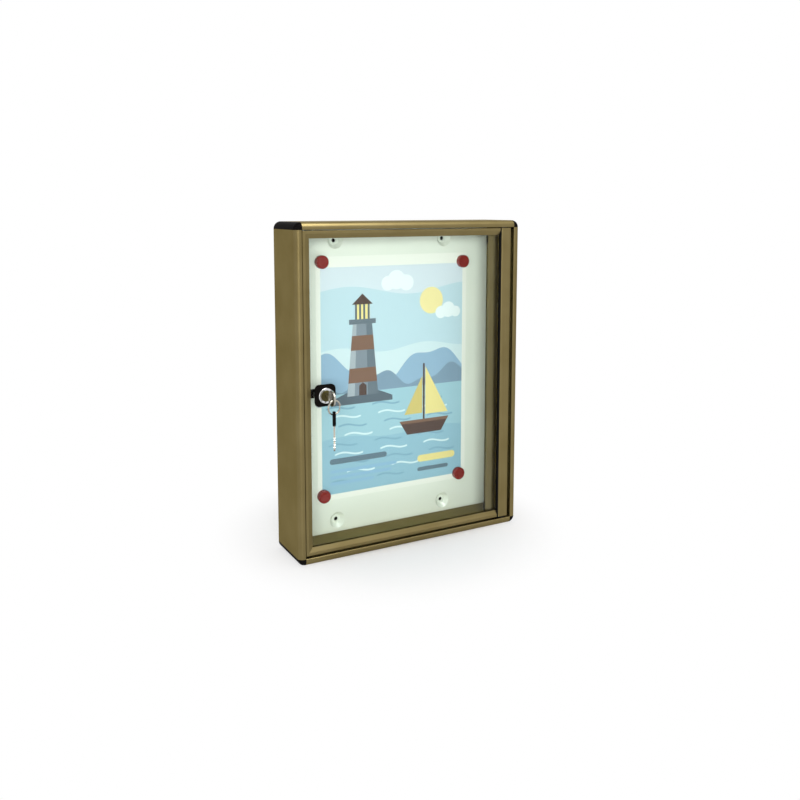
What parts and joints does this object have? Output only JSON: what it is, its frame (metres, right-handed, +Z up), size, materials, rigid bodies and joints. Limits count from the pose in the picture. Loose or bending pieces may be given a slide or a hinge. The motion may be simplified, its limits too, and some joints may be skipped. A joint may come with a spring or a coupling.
{
  "type": "wall notice board",
  "caption": "Lockable wall-mounted notice case with an anodised aluminium frame, hinged clear door, cam lock and magnetic back panel for an A4 sheet.",
  "frame": {"origin": "centre of the four wall holes, on the plane of the wall", "axes": "+Z up, +X to the right seen from the front, the front faces -Y and +Y points into the wall"},
  "size_m": [0.298, 0.0934, 0.388],
  "materials": {
    "anodised_aluminium": "satin bronze-gold anodised",
    "black_plastic": "matt moulded",
    "white_enamel": "gloss white enamel on steel sheet",
    "paper": "printed paper",
    "clear_acrylic": "clear polished acrylic sheet",
    "red_plastic": "gloss moulded",
    "ferrite": "dark sintered ferrite",
    "black_rubber": "black glazing rubber",
    "steel": "zinc plated",
    "chrome": "polished chrome plate",
    "brass": "worn brass",
    "nickel": "nickel plated"
  },
  "bodies": {
    "case": {"profile_left": "anodised_aluminium", "profile_top": "anodised_aluminium", "profile_right": "anodised_aluminium", "profile_bottom": "anodised_aluminium", "corner_cap_top_left": "black_plastic", "corner_cap_top_right": "black_plastic", "corner_cap_bottom_right": "black_plastic", "corner_cap_bottom_left": "black_plastic", "back_panel": "white_enamel", "paper_sheet": "paper", "keeper": "black_plastic", "keeper_screws": "steel", "hinge_pin_top": "steel", "hinge_pin_bottom": "steel"},
    "door": {"hinge_stile": "anodised_aluminium", "lock_stile": "anodised_aluminium", "door_rail_top": "anodised_aluminium", "door_rail_bottom": "anodised_aluminium", "door_pane": "clear_acrylic", "glazing_bead": "black_rubber", "corner_key_lock_top": "black_plastic", "corner_key_lock_bottom": "black_plastic", "corner_key_hinge_top": "black_plastic", "corner_key_hinge_bottom": "black_plastic", "hinge_bush_top": "black_plastic", "hinge_bush_bottom": "black_plastic", "lock_escutcheon": "black_plastic", "lock_housing": "chrome", "lock_nut": "steel"},
    "lock_core": {"lock_plug": "brass", "lock_cam": "steel", "cam_screw": "steel"},
    "key": {"plain_key": "nickel"},
    "ring": {"key_ring": "nickel"},
    "spare_key": {"spare_key_head": "black_plastic", "spare_key_blade": "nickel"},
    "magnet_top_left": {"magnet_cap_top_left": "red_plastic", "magnet_disc_top_left": "ferrite"},
    "magnet_top_right": {"magnet_cap_top_right": "red_plastic", "magnet_disc_top_right": "ferrite"},
    "magnet_bottom_right": {"magnet_cap_bottom_right": "red_plastic", "magnet_disc_bottom_right": "ferrite"},
    "magnet_bottom_left": {"magnet_cap_bottom_left": "red_plastic", "magnet_disc_bottom_left": "ferrite"}
  },
  "joints": [
    {"name": "door_hinge", "type": "hinge", "parent": "case", "child": "door", "pos_m": [0.13, -0.0575, 0], "axis": [0, 0, 1], "range_deg": [0, 105]},
    {"name": "lock_turn", "type": "hinge", "parent": "door", "child": "lock_core", "pos_m": [-0.114, -0.066, 0], "axis": [0, 1, 0], "range_deg": [0, 90]},
    {"name": "key_withdraw", "type": "slide", "parent": "lock_core", "child": "key", "axis": [0, -1, 0], "range_m": [0, 0.025]},
    {"name": "ring_swing", "type": "hinge", "parent": "key", "child": "ring", "pos_m": [-0.114, -0.087, 0], "axis": [-1, 0, 0], "range_deg": [-12, 60]},
    {"name": "spare_key_swing", "type": "hinge", "parent": "ring", "child": "spare_key", "pos_m": [-0.114, -0.087, -0.0182], "axis": [-0.9252, 0.3795, 0], "range_deg": [-10, 60]},
    {"name": "magnet_top_left_pull", "type": "slide", "parent": "case", "child": "magnet_top_left", "axis": [0, -1, 0], "range_m": [0, 0.025]},
    {"name": "magnet_top_right_pull", "type": "slide", "parent": "case", "child": "magnet_top_right", "axis": [0, -1, 0], "range_m": [0, 0.025]},
    {"name": "magnet_bottom_right_pull", "type": "slide", "parent": "case", "child": "magnet_bottom_right", "axis": [0, -1, 0], "range_m": [0, 0.025]},
    {"name": "magnet_bottom_left_pull", "type": "slide", "parent": "case", "child": "magnet_bottom_left", "axis": [0, -1, 0], "range_m": [0, 0.025]}
  ]
}
